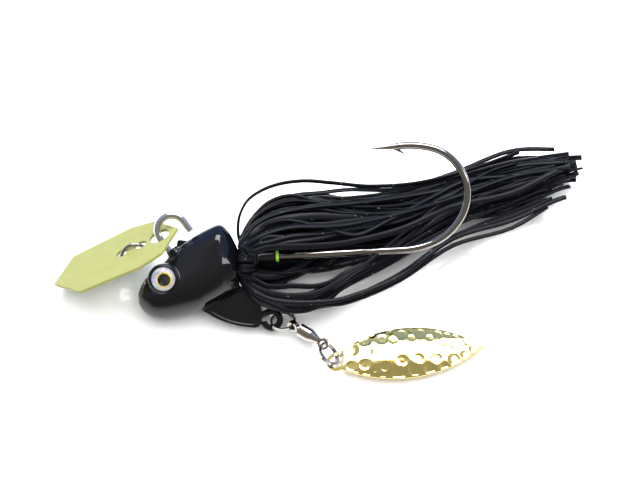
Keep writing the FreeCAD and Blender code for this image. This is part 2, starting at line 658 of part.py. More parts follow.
def make_nodes():
    hook = make_hook()
    eyelet = make_eyelet()
    lure_nodes = {
        "hook": hook,
        "keel_eyelet": eyelet,
        "head_casting": make_head(hook, eyelet),
        "left_eye_foil": make_eye_foil(1),
        "right_eye_foil": make_eye_foil(-1),
        "left_eye_dome": make_eye_dome(1),
        "right_eye_dome": make_eye_dome(-1),
        "skirt_band": make_band(),
        "keeper_sleeve": make_sleeve(),
        "keeper_bead": make_bead(),
        "vibrating_blade": make_vibrating_blade(),
        "line_tie_ring": make_line_tie_ring(),
    }
    nodes = {name: lay_down(shape) for name, shape in lure_nodes.items()}
    nodes["skirt_tab_upper"], nodes["skirt_tab_lower"] = make_skirt_tabs()
    nodes["upper_split_ring"] = make_upper_ring()
    nodes["swivel_post"] = make_swivel_post()
    nodes["swivel_body"] = make_swivel_body()
    nodes["swivel_cap"] = make_swivel_cap()
    nodes["swivel_balls"] = make_swivel_balls()
    nodes["lower_split_ring"] = make_lower_ring()
    nodes["willow_blade"] = make_willow_blade()
    return nodes


def main():
    os.makedirs("parts", exist_ok=True)
    for name, shape in make_nodes().items():
        shape.exportStep("parts/" + name + ".step")


main()
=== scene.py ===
import math
import random

import bmesh
import bpy
from mathutils import Matrix, Vector


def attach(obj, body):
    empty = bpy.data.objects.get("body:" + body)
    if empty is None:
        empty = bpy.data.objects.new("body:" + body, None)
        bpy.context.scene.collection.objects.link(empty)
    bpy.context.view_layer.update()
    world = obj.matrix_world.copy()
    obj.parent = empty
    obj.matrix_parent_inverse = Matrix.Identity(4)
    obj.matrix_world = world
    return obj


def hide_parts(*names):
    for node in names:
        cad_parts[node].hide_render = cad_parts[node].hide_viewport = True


# Looks for the bladed jig.  All lengths in this file are millimetres until a mesh is made; MM turns
# them into metres.  Two frames are used, as in the part: the row frame (the lure lying on a table,
# +Z up) and the lure frame (+X along the hook shank, +Y towards the hook point, +Z its left side).

MM = 0.001
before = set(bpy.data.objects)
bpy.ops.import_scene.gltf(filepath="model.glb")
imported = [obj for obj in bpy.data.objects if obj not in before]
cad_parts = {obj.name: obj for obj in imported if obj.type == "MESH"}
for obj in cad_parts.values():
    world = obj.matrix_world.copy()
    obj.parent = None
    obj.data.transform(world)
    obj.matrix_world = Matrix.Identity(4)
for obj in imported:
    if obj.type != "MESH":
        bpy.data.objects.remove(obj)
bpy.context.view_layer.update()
rng = random.Random(7)

LURE_AT = Vector((-13.98, -1.19, 8.45))
LURE_ROLL = math.radians(30.0)
LURE_PITCH = math.radians(3.0)
ROLLED = Matrix.Translation(LURE_AT) @ Matrix.Rotation(LURE_ROLL, 4, "X")
LYING = ROLLED @ Matrix.Rotation(LURE_PITCH, 4, "Z")
# sine and cosine of the roll, as the skirt and the camera use them
ROLL_SIN = 0.5
ROLL_COS = 0.866

# the eyes, in the lure frame
EYE_AT = (-15.3, -3.15)
EYE_RADIUS = 2.3
EYE_OUT = 4.8                              # from the lure's middle plane to the foil
PUPIL_SHIFT = (0.12, -0.16, 0)


# --- small geometry helpers ---------------------------------------------------------------------
def smooth_step(t):
    t = min(1.0, max(0.0, t))
    return t * t * (3 - 2 * t)


def catmull(points, samples):
    """Smooth curve through points, `samples` points per span."""
    ends = [points[0] * 2 - points[1]] + list(points) + [points[-1] * 2 - points[-2]]
    curve = []
    for i in range(1, len(ends) - 2):
        a, b, c, d = ends[i - 1], ends[i], ends[i + 1], ends[i + 2]
        for k in range(samples):
            t = k / samples
            curve.append(0.5 * (2 * b + (c - a) * t + (2 * a - 5 * b + 4 * c - d) * t * t
                                + (3 * b - a - 3 * c + d) * t ** 3))
    curve.append(points[-1].copy())
    return curve


def table_value(table, x, column):
    """Value of a table's column at x, smoothly through its rows (the first column is x)."""
    last = len(table) - 1
    i = max(k for k in range(last) if k == 0 or table[k][0] <= x)
    low, high = table[i], table[i + 1]
    before, after = table[max(i - 1, 0)], table[min(i + 2, last)]
    span = high[0] - low[0]
    slope_in = (high[column] - before[column]) / (high[0] - before[0]) * span
    slope_out = (after[column] - low[column]) / (after[0] - low[0]) * span
    t = min(1.0, max(0.0, (x - low[0]) / span))
    return ((2 * t ** 3 - 3 * t * t + 1) * low[column] + (t ** 3 - 2 * t * t + t) * slope_in
            + (3 * t * t - 2 * t ** 3) * high[column] + (t ** 3 - t * t) * slope_out)


def arc_points(a, b, c, count):
    """Points of the arc through a, b and c in the XY plane, without the last."""
    ax, ay, bx, by, cx, cy = a[0], a[1], b[0], b[1], c[0], c[1]
    d = 2 * (ax * (by - cy) + bx * (cy - ay) + cx * (ay - by))
    a2, b2, c2 = ax * ax + ay * ay, bx * bx + by * by, cx * cx + cy * cy
    ux = (a2 * (by - cy) + b2 * (cy - ay) + c2 * (ay - by)) / d
    uy = (a2 * (cx - bx) + b2 * (ax - cx) + c2 * (bx - ax)) / d
    radius = math.hypot(ax - ux, ay - uy)
    start = math.atan2(ay - uy, ax - ux)
    middle = math.atan2(by - uy, bx - ux)
    end = math.atan2(cy - uy, cx - ux)
    turn = (end - start) % (2 * math.pi)
    if (middle - start) % (2 * math.pi) > turn:
        turn -= 2 * math.pi
    angles = [start + turn * k / count for k in range(count)]
    return [(ux + radius * math.cos(angle), uy + radius * math.sin(angle)) for angle in angles]


def new_mesh(name, points, faces, material, smooth=True, at=None):
    """Object from millimetre points; `at` is the matrix that puts them in the row frame."""
    place = at or Matrix.Identity(4)
    mesh = bpy.data.meshes.new(name)
    mesh.from_pydata([tuple((place @ Vector(p)) * MM) for p in points], [], faces)
    mesh.validate()
    thing = bpy.data.objects.new(name, mesh)
    bpy.context.scene.collection.objects.link(thing)
    if material:
        mesh.materials.append(material)
    fix_normals(thing)
    if smooth:
        mesh.polygons.foreach_set("use_smooth", [True] * len(mesh.polygons))
    return thing


def fix_normals(thing):
    bm = bmesh.new()
    bm.from_mesh(thing.data)
    bmesh.ops.recalc_face_normals(bm, faces=bm.faces)
    bm.to_mesh(thing.data)
    bm.free()


def loft(rings, closed_ends=True):
    """Points and faces of a skin over rings that each have the same number of points."""
    count = len(rings[0])
    points = [p for ring in rings for p in ring]
    faces = []
    for i in range(len(rings) - 1):
        for j in range(count):
            k = (j + 1) % count
            faces.append((i * count + j, i * count + k, (i + 1) * count + k, (i + 1) * count + j))
    if closed_ends:
        faces.append(tuple(reversed(range(count))))
        faces.append(tuple((len(rings) - 1) * count + j for j in range(count)))
    return points, faces


def join(things, name):
    bpy.ops.object.select_all(action="DESELECT")
    for thing in things:
        thing.select_set(True)
    bpy.context.view_layer.objects.active = things[0]
    bpy.ops.object.join()
    things[0].name = name
    return things[0]


def apply_modifiers(thing):
    bpy.context.view_layer.update()
    evaluated = thing.evaluated_get(bpy.context.evaluated_depsgraph_get())
    mesh = bpy.data.meshes.new_from_object(evaluated)
    thing.modifiers.clear()
    thing.data = mesh


def frames_along(path, start_up):
    """(tangent, side, up) at every point of a path, turned as little as possible."""
    up = start_up
    found = []
    for i, here in enumerate(path):
        ahead = path[min(i + 1, len(path) - 1)] - path[max(i - 1, 0)]
        tangent = ahead.normalized()
        up = (up - tangent * up.dot(tangent)).normalized()
        found.append((tangent, tangent.cross(up), up))
    return found


def tube(path, section_at, start_up=Vector((0, 0, 1))):
    """Rings of a bar along a path; section_at(share) gives (side, up) offsets."""
    rings = []
    for i, (here, (_, side, up)) in enumerate(zip(path, frames_along(path, start_up))):
        share = i / (len(path) - 1)
        rings.append([here + side * x + up * y for x, y in section_at(share)])
    return rings


def round_section(radius, count=20):
    return [(radius * math.cos(2 * math.pi * k / count), radius * math.sin(2 * math.pi * k / count))
            for k in range(count)]


def lathe(profile, count=64):
    """Rings turned about X from (x, radius) rows."""
    return [[Vector((x, r * math.cos(2 * math.pi * k / count), r * math.sin(2 * math.pi * k / count)))
             for k in range(count)] for x, r in profile]


# --- materials ----------------------------------------------------------------------------------
HOOK_PAINTED_BRIGHT = (-24.0, -20.0)               # the hook is painted brighter left of the first X: a painted highlight for the light the upturned eye catches


def material(name, **values):
    """Principled material; values are socket names with underscores for spaces."""
    made = bpy.data.materials.new(name)
    made.use_nodes = True
    shader = made.node_tree.nodes["Principled BSDF"]
    for key, value in values.items():
        shader.inputs[key.replace("_", " ")].default_value = value
    return made


def node(made, kind, **values):
    found = made.node_tree.nodes.new(kind)
    for key, value in values.items():
        if hasattr(found, key):
            setattr(found, key, value)
        else:
            found.inputs[key.replace("_", " ")].default_value = value
    return found


def link(made, a, out, b, into):
    made.node_tree.links.new(a.outputs[out], b.inputs[into])


def ramp(made, stops):
    """Colour ramp from (position, colour) stops; also used for the world's sky."""
    found = made.node_tree.nodes.new("ShaderNodeValToRGB")
    while len(found.color_ramp.elements) < len(stops):
        found.color_ramp.elements.new(0.5)
    for element, (position, colour) in zip(found.color_ramp.elements, stops):
        element.position = position
        element.color = (*colour, 1)
    return found


def shader_of(made):
    return made.node_tree.nodes["Principled BSDF"]


def rough_noise(made, scale, low, high, detail=4.0):
    """Roughness that varies softly between low and high."""
    where = node(made, "ShaderNodeTexCoord")
    noise = node(made, "ShaderNodeTexNoise", Scale=scale, Detail=detail)
    spread = node(made, "ShaderNodeMapRange")
    spread.inputs["To Min"].default_value = low
    spread.inputs["To Max"].default_value = high
    link(made, where, "Object", noise, "Vector")
    link(made, noise, "Fac", spread, "Value")
    link(made, spread, "Result", shader_of(made), "Roughness")
    return noise


def tinted(name, low, high, smooth, dull):
    """Moulded material whose colour and roughness drift between two values."""
    made = material(name)
    noise = rough_noise(made, 1100, smooth, dull)
    tint = ramp(made, ((0.35, low), (0.65, high)))
    link(made, noise, "Fac", tint, "Fac")
    link(made, tint, "Color", shader_of(made), "Base Color")
    return made


def head_paint():
    made = material("head_paint", Base_Color=(0.0028, 0.0030, 0.0040, 1), Specular_IOR_Level=0.42)
    rough_noise(made, 260, 0.05, 0.10)
    return made


def hook_nickel():
    """Black nickel, painted brighter round the eye as a painted highlight for the light the upturned eye
    catches.
    """
    made = material("hook_nickel", Metallic=1.0)
    where = node(made, "ShaderNodeTexCoord")
    split = node(made, "ShaderNodeSeparateXYZ")
    link(made, where, "Object", split, "Vector")
    # painted highlight: the nickel is painted pale round the eye and darker along the rest of the hook
    highlight_share = node(made, "ShaderNodeMapRange")
    highlight_share.inputs["From Min"].default_value = HOOK_PAINTED_BRIGHT[0] * MM
    highlight_share.inputs["From Max"].default_value = HOOK_PAINTED_BRIGHT[1] * MM
    link(made, split, "X", highlight_share, "Value")
    tint = ramp(made, ((0.0, (0.66, 0.66, 0.66)), (1.0, (0.30, 0.28, 0.26))))
    link(made, highlight_share, "Result", tint, "Fac")
    link(made, tint, "Color", shader_of(made), "Base Color")
    rough_noise(made, 900, 0.08, 0.16)
    return made


def plain_steel(name, colour, low, high):
    made = material(name, Base_Color=(*colour, 1), Metallic=1.0)
    rough_noise(made, 1500, low, high)
    return made


def blade_paint():
    """Satin chartreuse paint with faint mottling."""
    made = material("blade_paint", Base_Color=(0.37, 0.37, 0.125, 1), Roughness=0.5, Metallic=0.0)
    where = node(made, "ShaderNodeTexCoord")
    noise = node(made, "ShaderNodeTexNoise", Scale=420, Detail=6)
    link(made, where, "Object", noise, "Vector")
    tint = ramp(made, ((0.30, (0.245, 0.25, 0.070)), (0.52, (0.260, 0.265, 0.077)),
                       (0.75, (0.275, 0.28, 0.085))))
    link(made, noise, "Fac", tint, "Fac")
    link(made, tint, "Color", shader_of(made), "Base Color")
    return made


def spinner_gold():
    made = material("spinner_gold", Base_Color=(0.90, 0.73, 0.27, 1), Metallic=1.0)
    rough_noise(made, 700, 0.06, 0.13)
    return made


def skirt_silicone():
    """Black silicone with a few tiny pale specks moulded in."""
    black = (0.004, 0.0045, 0.006)
    speck = (0.10, 0.12, 0.10)
    made = material("skirt_silicone", Base_Color=(*black, 1), Roughness=0.30, Specular_IOR_Level=0.13)
    where = node(made, "ShaderNodeTexCoord")
    specks = node(made, "ShaderNodeTexVoronoi", Scale=620)
    link(made, where, "Object", specks, "Vector")
    tint = ramp(made, ((0.0, speck), (0.070, speck), (0.10, black)))
    link(made, specks, "Distance", tint, "Fac")
    link(made, tint, "Color", shader_of(made), "Base Color")
    rough_noise(made, 300, 0.24, 0.46, detail=3)
    return made


def eye_foil(side):
    """Printed film: black pupil, thin yellow ring, silver ring with broken rainbow tints."""
    made = material("eye_foil", Roughness=0.3, Metallic=0.0, Specular_IOR_Level=0.06)
    centre = (LYING @ Vector((*EYE_AT, side * EYE_OUT))) * MM
    pupil_shift = (LYING.to_3x3() @ Vector(PUPIL_SHIFT)) * MM
    where = node(made, "ShaderNodeTexCoord")
    place = node(made, "ShaderNodeVectorMath", operation="SUBTRACT")
    place.inputs[1].default_value = centre
    link(made, where, "Object", place, 0)
    length = node(made, "ShaderNodeVectorMath", operation="LENGTH")
    link(made, place, "Vector", length, 0)
    pupil_place = node(made, "ShaderNodeVectorMath", operation="SUBTRACT")
    pupil_place.inputs[1].default_value = pupil_shift
    link(made, place, "Vector", pupil_place, 0)
    pupil_length = node(made, "ShaderNodeVectorMath", operation="LENGTH")
    link(made, pupil_place, "Vector", pupil_length, 0)
    cells = node(made, "ShaderNodeTexVoronoi", Scale=1500)
    link(made, where, "Object", cells, "Vector")
    tints = node(made, "ShaderNodeHueSaturation", Saturation=0.85, Value=1.0)
    link(made, cells, "Color", tints, "Color")
    pale = node(made, "ShaderNodeMix", data_type="RGBA")
    pale.inputs["Factor"].default_value = 0.58
    pale.inputs["B"].default_value = (0.70, 0.73, 0.76, 1)
    link(made, tints, "Color", pale, "A")
    yellow_mask = ramp(made, ((0.0, (1, 1, 1)), (0.555, (1, 1, 1)), (0.60, (0, 0, 0))))
    black_mask = ramp(made, ((0.0, (1, 1, 1)), (0.48, (1, 1, 1)), (0.51, (0, 0, 0))))
    rim_mask = ramp(made, ((0.0, (0, 0, 0)), (0.95, (0, 0, 0)), (0.98, (1, 1, 1))))
    to_share = 1 / (EYE_RADIUS * MM)
    measured = ((length, rim_mask), (pupil_length, yellow_mask), (pupil_length, black_mask))
    for source, mask in measured:
        scale = node(made, "ShaderNodeMath", operation="MULTIPLY")
        scale.inputs[1].default_value = to_share
        link(made, source, "Value", scale, 0)
        link(made, scale, 0, mask, "Fac")
    last = pale
    layers = ((yellow_mask, (0.85, 0.72, 0.05, 1)), (black_mask, (0.002, 0.002, 0.003, 1)),
              (rim_mask, (0.35, 0.36, 0.38, 1)))
    for mask, colour in layers:
        mixed = node(made, "ShaderNodeMix", data_type="RGBA")
        mixed.inputs["B"].default_value = colour
        link(made, mask, "Color", mixed, "Factor")
        link(made, last, "Result", mixed, "A")
        last = mixed
    link(made, last, "Result", shader_of(made), "Base Color")
    return made


# --- head ---------------------------------------------------------------------------------------
# (x, top, crest edge below the top, half width at the crest edge, ridge, half width, bottom)
HEAD_SECTIONS = (
    (-20.35, -5.5, 0.4, 0.6, -6.5, 1.0, -7.7),
    (-19.9, -4.5, 0.7, 1.1, -6.4, 2.3, -8.7),
    (-19.0, -3.1, 1.1, 1.9, -6.3, 3.3, -9.7),
    (-17.6, -1.9, 1.5, 2.4, -6.2, 4.2, -10.5),
    (-15.5, -0.2, 1.6, 2.4, -5.6, 4.8, -10.8),
    (-12.5, 2.6, 1.7, 2.5, -4.6, 5.05, -10.5),
    (-9.0, 4.8, 1.8, 2.7, -3.3, 5.1, -9.8),
    (-6.0, 6.2, 2.0, 2.9, -2.0, 5.0, -8.4),
    (-4.3, 6.7, 2.1, 2.9, -1.2, 4.75, -7.5),
    (-3.2, 6.2, 2.0, 2.4, -1.0, 4.1, -7.0),
    (-2.0, 4.5, 2.2, 1.9, -0.8, 3.3, -6.4),
    (-0.9, 1.9, 1.2, 1.4, -0.7, 2.3, -5.8),
)
STATIONS = 64                              # spans between sections along the head
SPAN_POINTS = 8                            # points on each straight side of a section
BELLY_POINTS = 16
CORNER_ROUNDING = 5                        # passes that soften a section's corners
FIN_THICK = 1.5
FIN_POCKET = 0.14                          # depth of the shallow pocket in each side of the fin
FIN_POCKET_SHARE = 0.80                    # the pocket's outline as a share of the fin's
# (height, radius) of the boss that holds an eye, from the lure's middle plane out
BOSS_PROFILE = (
    (0.0, 0.02), (0.0, 3.0), (4.1, 3.0), (4.6, 2.9), (4.88, 2.72), (4.98, 2.55), (4.96, 2.42),
    (4.88, 2.35), (4.66, 2.34), (4.66, 0.02),
)
NECK_PROFILE = ((-2.0, 1.45), (2.4, 1.45), (2.5, 1.75), (3.0, 1.75))    # (x, radius)
# lump of lead where the hook's wire comes out: its foot, heading, and places along the wire
LUMP_FOOT = Vector((-12.96, 1.45, 0))
LUMP_HEADING = math.radians(122.7)
LUMP_STEPS = (-1.5, -0.2, 0.7, 1.25)
LUMP_RADIUS = 1.5
LUMP_TAPER = 0.35
# the tooth beside the lump, and the channel in which the wire lies
TOOTH = ((-13.0, 1.6), (-12.4, 4.0), (-12.1, 4.2), (-10.8, 4.0), (-9.6, 3.4))
TOOTH_SIDES = (-2.0, -1.1)
CHANNEL = (Vector((-14.6, 2.45, 0.35)), Vector((-8.3, 6.1, 0.35)))
CHANNEL_RADIUS = 0.95
# seam pressed between the body and the fin
SEAM = (Vector((-7.2, -8.35)), Vector((0.1, -5.6)))
SEAM_DEPTH = 0.40
SEAM_WIDTH = 0.30
VOXEL = 0.11                               # millimetres between the skin's points


def head_ring(x):
    """Section of the head at x: straight from the crest to the ridge, then a rounded belly."""
    top, drop, crest, ridge, half, bottom = (table_value(HEAD_SECTIONS, x, c) for c in range(1, 7))
    corners = [(top, 0.0), (top - 0.16 * drop, crest * 0.28), (top - drop, crest), (ridge, half)]
    half_ring = []
    for (y0, z0), (y1, z1) in zip(corners, corners[1:]):
        for k in range(SPAN_POINTS):
            half_ring.append((y0 + (y1 - y0) * k / SPAN_POINTS, z0 + (z1 - z0) * k / SPAN_POINTS))
    for k in range(BELLY_POINTS + 1):
        turn = math.pi / 2 * k / BELLY_POINTS
        half_ring.append((ridge + (bottom - ridge) * math.sin(turn) ** 1.15,
                          half * max(0.0, math.cos(turn)) ** 0.8))
    for _ in range(CORNER_ROUNDING):
        half_ring = ([half_ring[0]]
                     + [((a[0] + 2 * b[0] + c[0]) / 4, (a[1] + 2 * b[1] + c[1]) / 4)
                        for a, b, c in zip(half_ring, half_ring[1:], half_ring[2:])]
                     + [half_ring[-1]])
    ring = [Vector((x, y, z)) for y, z in half_ring]
    ring += [Vector((x, y, -z)) for y, z in reversed(half_ring[1:-1])]
    return ring


def fin_outline():
    outline = arc_points((-8.6, -9.3), (-4.0, -12.05), (1.1, -13.35), 16)
    outline += arc_points((1.1, -13.35), (2.4, -13.2), (3.0, -12.4), 6)
    outline += arc_points((3.0, -12.4), (2.75, -8.8), (-0.9, -5.2), 12)
    outline += [(-0.9, -5.2), (-1.6, -4.6), (-5.4, -6.4)]
    return outline


def plate(outline, low, high):
    """Closed prism between two heights."""
    rings = [[Vector((x, y, z)) for x, y in outline] for z in (low, high)]
    return loft(rings)


def scaled_about_middle(outline, share):
    cx = sum(p[0] for p in outline) / len(outline)
    cy = sum(p[1] for p in outline) / len(outline)
    return [(cx + (x - cx) * share, cy + (y - cy) * share) for x, y in outline]


def boolean(thing, cutter, operation):
    cut = thing.modifiers.new("cut", "BOOLEAN")
    cut.object = cutter
    cut.operation = operation
    cut.solver = "EXACT"
    apply_modifiers(thing)
    bpy.data.objects.remove(cutter)


def eye_boss_rings(side):
    """Round boss with a rolled lip and a flat-bottomed recess for the eye."""
    turn = Matrix.Translation((*EYE_AT, 0)) @ Matrix.Rotation(-side * math.pi / 2, 4, "Y")
    return [[turn @ p for p in ring] for ring in lathe(BOSS_PROFILE, 72)]


def pressed_groove(thing):
    """Presses the seam between the body and the fin into the skin, on both sides."""
    into_lure = LYING.inverted() @ Matrix.Scale(1 / MM, 4)
    a, b = SEAM
    for vertex in thing.data.vertices:
        p = into_lure @ vertex.co
        t = max(0.0, min(1.0, (Vector((p.x, p.y)) - a).dot(b - a) / (b - a).length_squared))
        gap = (Vector((p.x, p.y)) - (a + (b - a) * t)).length
        push = SEAM_DEPTH * math.exp(-(gap / SEAM_WIDTH) ** 2) if abs(p.z) > 0.5 else 0.0
        if push > 0.004:
            direction = LYING.to_3x3() @ Vector((0, 0, -1 if p.z > 0 else 1))
            vertex.co += direction * push * MM


def make_head(paint):
    """The casting as one skin: body, fin, eye bosses, neck, lump and tooth melted together."""
    first, last = HEAD_SECTIONS[0][0], HEAD_SECTIONS[-1][0]
    stations = [first + (last - first) * k / STATIONS for k in range(STATIONS + 1)]
    body = new_mesh("body", *loft([head_ring(x) for x in stations]), paint)
    fin = new_mesh("fin", *plate(fin_outline(), -FIN_THICK / 2, FIN_THICK / 2), paint)
    pocket = scaled_about_middle(fin_outline(), FIN_POCKET_SHARE)
    for low in (FIN_THICK / 2 - FIN_POCKET, -FIN_THICK / 2 - 1.0):
        boolean(fin, new_mesh("pocket", *plate(pocket, low, low + 1.0 + FIN_POCKET), None), "DIFFERENCE")
    parts = [body, fin]
    for side in (1, -1):
        parts.append(new_mesh("boss", *loft(eye_boss_rings(side)), paint))
    parts.append(new_mesh("neck", *loft(lathe(NECK_PROFILE)), paint))
    up = Vector((math.cos(LUMP_HEADING), math.sin(LUMP_HEADING), 0))
    lump = tube([LUMP_FOOT + up * step for step in LUMP_STEPS],
                lambda share: round_section(LUMP_RADIUS - LUMP_TAPER * share, 24))
    parts.append(new_mesh("lump", *loft(lump), paint))
    parts.append(new_mesh("tooth", *plate(TOOTH, *TOOTH_SIDES), paint))
    head = join(parts, "head_skin")
    remesh = head.modifiers.new("skin", "REMESH")
    remesh.mode = "VOXEL"
    remesh.voxel_size = VOXEL
    head.data.transform(Matrix.Scale(1 / MM, 4))
    apply_modifiers(head)
    channel = tube(list(CHANNEL), lambda share: round_section(CHANNEL_RADIUS, 32))
    boolean_in_mm(head, channel)
    soften = head.modifiers.new("soften", "SMOOTH")
    soften.factor = 0.5
    soften.iterations = 5
    apply_modifiers(head)
    head.data.transform(LYING)
    head.data.transform(Matrix.Scale(MM, 4))
    pressed_groove(head)
    head.data.polygons.foreach_set("use_smooth", [True] * len(head.data.polygons))
    return head


def boolean_in_mm(thing, rings):
    points, faces = loft(rings)
    cutter = new_mesh("cutter", points, faces, None)
    cutter.data.transform(Matrix.Scale(1 / MM, 4))
    boolean(thing, cutter, "DIFFERENCE")


# --- skirt --------------------------------------------------------------------------------------
# The skirt is laid out in the rolled frame: x along the row's X from the shank's exit, y up the
# lure's side, and the table's height.  (x, upper edge, lower edge, middle height, half height)
SKIRT = (
    (1.2, 1.8, -1.8, 8.45, 1.8),
    (0.35, 2.3, -2.3, 8.45, 2.3),
    (-0.35, 3.4, -3.2, 8.45, 3.2),
    (0.2, 5.7, -4.9, 8.4, 4.6),
    (1.9, 8.1, -7.2, 8.2, 6.2),
    (5.0, 10.9, -9.1, 7.9, 7.0),
    (9.4, 12.6, -10.1, 7.7, 7.2),
    (14.8, 13.6, -10.1, 7.5, 7.0),
    (20.4, 14.2, -9.0, 7.1, 6.6),
    (30.2, 15.1, -5.0, 6.1, 5.6),
    (40.4, 17.4, 1.9, 5.1, 4.6),
    (51.9, 20.8, 5.9, 4.4, 3.9),
    (62.0, 21.9, 10.6, 3.9, 3.2),
    (69.5, 22.4, 12.6, 3.7, 3.2),
)
# openings between the strands: (x, y, half length, half height, tilt)
OPENINGS = (
    (9.9, -6.2, 3.4, 0.30, -2), (14.2, -3.4, 4.6, 0.25, 6), (24.0, -4.6, 6.6, 0.75, 25),
    (2.4, 5.1, 1.8, 0.30, 47), (4.9, 7.0, 1.3, 0.2, 28), (36.0, 2.4, 4.0, 0.2, 24),
)
# strands that spring away from the rest: (x, y up the side, height above the table)
LOOSE_STRANDS = (
    ((1.0, 1.7, 9.3), (-0.3, 2.6, 9.8), (-0.95, 5.2, 11.0), (-0.5, 8.6, 12.4), (1.5, 11.7, 13.0),
     (5.9, 14.0, 12.6), (11.5, 14.9, 11.8), (17.5, 14.5, 10.9), (24.7, 13.9, 9.6), (34.0, 14.6, 8.2),
     (44.0, 17.2, 7.0), (53.5, 20.6, 6.2)),
    ((1.0, 1.2, 9.4), (0.2, 2.8, 10.4), (2.6, 5.6, 12.2), (8.5, 7.4, 13.0), (16.5, 5.6, 12.0),
     (22.0, 4.6, 11.2), (28.0, 7.4, 10.2), (36.0, 11.6, 8.6), (43.0, 15.0, 7.6), (52.0, 16.0, 6.5)),
    ((1.0, -1.2, 7.4), (0.2, -3.0, 7.0), (3.0, -6.4, 6.4), (9.4, -8.2, 6.2), (16.0, -6.2, 7.8),
     (23.0, -1.4, 9.0), (31.0, 5.0, 8.8), (39.0, 11.2, 8.0), (47.0, 16.4, 7.0), (53.0, 18.4, 6.2)),
)
COLLAR_LOOPS = 46
# route of a loop at the collar: (x, reach from the shank)
COLLAR_ROUTE = ((1.5, 1.9), (0.5, 2.3), (-0.2, 2.8), (-0.4, 3.4), (0.0, 3.9), (0.9, 3.9), (2.0, 3.2))
COLLAR_START = 1.9                         # reach at which a loop leaves the band
FLOOR = 0.12                               # height at which a strand lies on the table
LAST_X = 52.7                              # no strand goes beyond this X in the row frame,
LAST_Y = 26.0                              # nor beyond this Y
RAGGED = 8.5                               # how far short of LAST_X a strand may end
BAND_REACH = 1.8                           # reach of the strands under the band
FRONT_REACH = 4.6                          # and where they have turned back
TRIES = 90                                 # for a place clear of the openings and the shank
UNCUT = 90.0                               # a length that cuts nothing off
SKIRT_CORE = Vector((20, 4, -2))           # from the lure's place to the middle of the skirt


def strand_point(row, p, q):
    """Point of the rolled frame turned into the row frame; p is up the side, q is height."""
    x, upper, lower, middle, half = row
    y = (upper + lower) / 2 + (upper - lower) / 2 * p
    z = middle + half * (0.28 * p + 0.95 * q)
    return out_of_roll(x, y, z)


def out_of_roll(x, y, z):
    """Row-frame point from x, y up the lure's side and the height above the table."""
    return Vector((x + LURE_AT.x, (y - ROLL_SIN * (z - LURE_AT.z)) / ROLL_COS + LURE_AT.y, z))


def side_view(point):
    """(x, y up the side, nearness to the viewer of the lure's left side) of a row-frame point."""
    back = ROLLED.inverted() @ point
    return back.x, back.y, back.z


def clear_of_openings(path, half_width):
    for point in path:
        x, y, _ = side_view(point)
        for cx, cy, long_half, short_half, tilt in OPENINGS:
            turn = math.radians(tilt)
            along = (x - cx) * math.cos(turn) + (y - cy) * math.sin(turn)
            across = (y - cy) * math.cos(turn) - (x - cx) * math.sin(turn)
            if (along / long_half) ** 2 + (across / (short_half + half_width)) ** 2 < 1:
                return False
    return True


def clear_of_shank(path):
    """Nothing lies over the shank or the bend on the side that faces up."""
    for point in path:
        x, y, near = side_view(point)
        if 4.0 < x < 33.0 and abs(y - 0.052 * x) < 1.5 and near > -1.4:
            return False
        if x >= 33.0 and near > -1.2 and y > 0:
            bend = math.hypot(x - 30.6, y - 10.3)
            if 7.0 < bend < 14.5:
                return False
    return True


def strand_controls(start_angle, body, tip, onset, span):
    """Control points from under the band, round its front, and on to the body and tip (p, q)."""
    controls = []
    packed = min(1.0, 0.45 + 0.6 * math.hypot(*body))
    for i, row in enumerate(SKIRT):
        x, upper, lower = row[:3]
        share = smooth_step((i - onset) / span)
        p = body[0] + (tip[0] - body[0]) * share
        q = body[1] + (tip[1] - body[1]) * share
        if i <= 3:
            reach = (upper - lower) / 2 if i < 3 else FRONT_REACH
            reach = BAND_REACH + (reach - BAND_REACH) * packed
            ahead = x if i == 0 else x + 1.4 * (1 - packed)
            radial = ROLLED @ Vector((ahead, reach * math.cos(start_angle), reach * math.sin(start_angle)))
        if i < 3:
            controls.append(radial)
        elif i == 3:
            controls.append(radial.lerp(strand_point(row, p, q), 0.45))
        else:
            controls.append(strand_point(row, p, q))
    return controls


def trimmed(path, length):
    """The first part of a path, as long as length."""
    kept = [path[0]]
    gone = 0.0
    for a, b in zip(path, path[1:]):
        step = (b - a).length
        if gone + step > length:
            kept.append(a + (b - a) * ((length - gone) / step))
            break
        gone += step
        kept.append(b)
    return kept


def ribbon_section(width, thick):
    """Rounded oblong with eight corners."""
    w, t = width / 2, thick / 2
    return [(w, t * 0.35), (w * 0.72, t), (-w * 0.72, t), (-w, t * 0.35),
            (-w, -t * 0.35), (-w * 0.72, -t), (w * 0.72, -t), (w, -t * 0.35)]


def strand_mesh(name, path, width, thick, twist, rubber):
    def section(share):
        cos, sin = math.cos(twist * share), math.sin(twist * share)
        taper = 1 - 0.12 * share
        return [((x * cos - y * sin) * taper, (x * sin + y * cos) * taper)
                for x, y in ribbon_section(width, thick)]
    start_up = (path[4] - (LURE_AT + SKIRT_CORE)).normalized()
    rings = tube(path, section, start_up)
    return new_mesh(name, *loft(rings), rubber)


def lifted(path, radius):
    """The path kept on or above the table."""
    return [Vector((p.x, p.y, max(p.z, FLOOR + radius))) for p in path]


def make_strand(index, rubber, controls, width, thick, length):
    path = trimmed(lifted(catmull(controls, 6), thick / 2), length)
    ending = LAST_X - RAGGED * rng.random()
    path = [Vector((p.x, min(p.y, LAST_Y - width / 2), p.z)) for p in path if p.x < ending]
    return strand_mesh(f"skirt_strand_{index:02d}", path, width, thick, rng.uniform(-1.4, 1.4), rubber)


